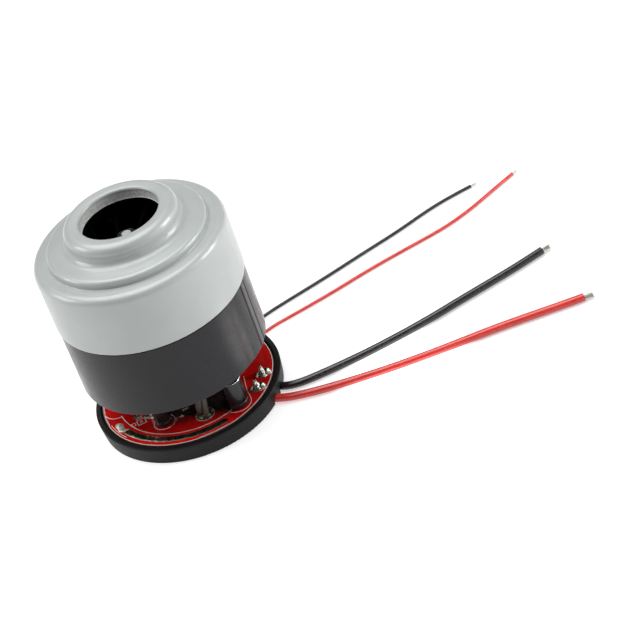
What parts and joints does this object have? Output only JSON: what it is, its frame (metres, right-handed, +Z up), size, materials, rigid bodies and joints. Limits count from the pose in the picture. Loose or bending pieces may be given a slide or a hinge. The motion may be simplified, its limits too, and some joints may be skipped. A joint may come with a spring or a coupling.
{
  "type": "brushless blower motor",
  "caption": "Round brushless blower motor: stepped silver inlet cover over a dark housing with an open outlet gap, above a red driver board in a tray with four bare-ended leads.",
  "frame": {"origin": "middle of the board tray's underside, on the shaft's axis", "axes": "+Z up along the shaft, from the tray to the inlet; +X towards the side where the leads leave"},
  "size_m": [0.186, 0.095, 0.0857],
  "materials": {
    "cover_silver": "satin silver paint on pressed steel",
    "housing_plastic": "satin dark grey moulding",
    "tray_plastic": "matte black-grey moulding",
    "moulded_black": "matte black glass-filled moulding",
    "impeller_black": "matte black glass-filled moulding",
    "board_red": "red solder resist on glass laminate",
    "capacitor_sleeve": "glossy black heat-shrink sleeve",
    "chip_ceramic": "fired ceramic with tinned ends",
    "chip_black": "matte black moulded package",
    "solder": "reflowed solder",
    "tinned_copper": "tinned copper strands",
    "nickel_brass": "nickel-plated brass",
    "zinc_steel": "zinc-plated steel",
    "shaft_steel": "ground steel",
    "spring_steel": "blued spring steel",
    "bearing_steel": "polished bearing steel",
    "cage_nylon": "natural nylon",
    "cast_aluminium": "as-cast aluminium, machined seats",
    "bracket_black": "black coating on cast aluminium",
    "lamination_steel": "stacked laminations",
    "magnet_ferrite": "ground sintered magnet",
    "insulator_nylon": "natural nylon moulding",
    "enamelled_copper": "enamelled copper wire",
    "silicone_red": "red silicone insulation",
    "silicone_black": "black silicone insulation"
  },
  "bodies": {
    "root": {"bearing_bracket": "bracket_black", "board_screws": "zinc_steel", "board_standoffs": "nickel_brass", "board_tray": "tray_plastic", "capacitor_large": "capacitor_sleeve", "capacitor_small": "capacitor_sleeve", "chip_components": "chip_ceramic", "controller_chip": "chip_black", "current_shunt": "chip_black", "diffuser": "moulded_black", "diffuser_screws": "zinc_steel", "driver_board": "board_red", "fan_cover": "cover_silver", "gate_driver_chip": "chip_black", "lower_bearing_outer_ring": "bearing_steel", "lower_bearing_shields": "bearing_steel", "motor_frame": "cast_aluminium", "motor_housing": "housing_plastic", "phase_leads": "tinned_copper", "phase_solder_joints": "solder", "power_lead_black": "silicone_black", "power_lead_black_joint": "solder", "power_lead_black_tip": "tinned_copper", "power_lead_red": "silicone_red", "power_lead_red_joint": "solder", "power_lead_red_tip": "tinned_copper", "power_transistors": "chip_black", "preload_washer": "spring_steel", "signal_lead_black": "silicone_black", "signal_lead_black_joint": "solder", "signal_lead_black_tip": "tinned_copper", "signal_lead_red": "silicone_red", "signal_lead_red_joint": "solder", "signal_lead_red_tip": "tinned_copper", "stator_coils": "enamelled_copper", "stator_core": "lamination_steel", "stator_insulator_lower": "insulator_nylon", "stator_insulator_upper": "insulator_nylon", "supply_track": "solder", "through_bolts": "zinc_steel", "upper_bearing_outer_ring": "bearing_steel", "upper_bearing_shields": "bearing_steel"},
    "rotor": {"motor_shaft": "shaft_steel", "rotor_core": "lamination_steel", "rotor_magnet": "magnet_ferrite", "rotor_spacer_lower": "shaft_steel", "rotor_spacer_upper": "shaft_steel", "impeller_spacer": "shaft_steel", "impeller": "impeller_black", "impeller_shroud": "impeller_black", "impeller_washer": "zinc_steel", "impeller_nut": "zinc_steel", "lower_bearing_inner_ring": "bearing_steel", "upper_bearing_inner_ring": "bearing_steel"},
    "upper_ball_set": {"upper_bearing_balls": "bearing_steel", "upper_bearing_cage": "cage_nylon"},
    "lower_ball_set": {"lower_bearing_balls": "bearing_steel", "lower_bearing_cage": "cage_nylon"}
  },
  "joints": [
    {"name": "rotor_spin", "type": "hinge", "parent": "root", "child": "rotor", "pos_m": [0, 0, 0.0427], "axis": [0, 0, 1], "continuous": true},
    {"name": "upper_ball_spin", "type": "hinge", "parent": "root", "child": "upper_ball_set", "pos_m": [0, 0, 0.055], "axis": [0, 0, 1], "continuous": true},
    {"name": "lower_ball_spin", "type": "hinge", "parent": "root", "child": "lower_ball_set", "pos_m": [0, 0, 0.0265], "axis": [0, 0, 1], "continuous": true}
  ],
  "couplings": [
    {"joint": "upper_ball_spin", "follows": "rotor_spin", "ratio": 0.36},
    {"joint": "lower_ball_spin", "follows": "rotor_spin", "ratio": 0.36}
  ]
}
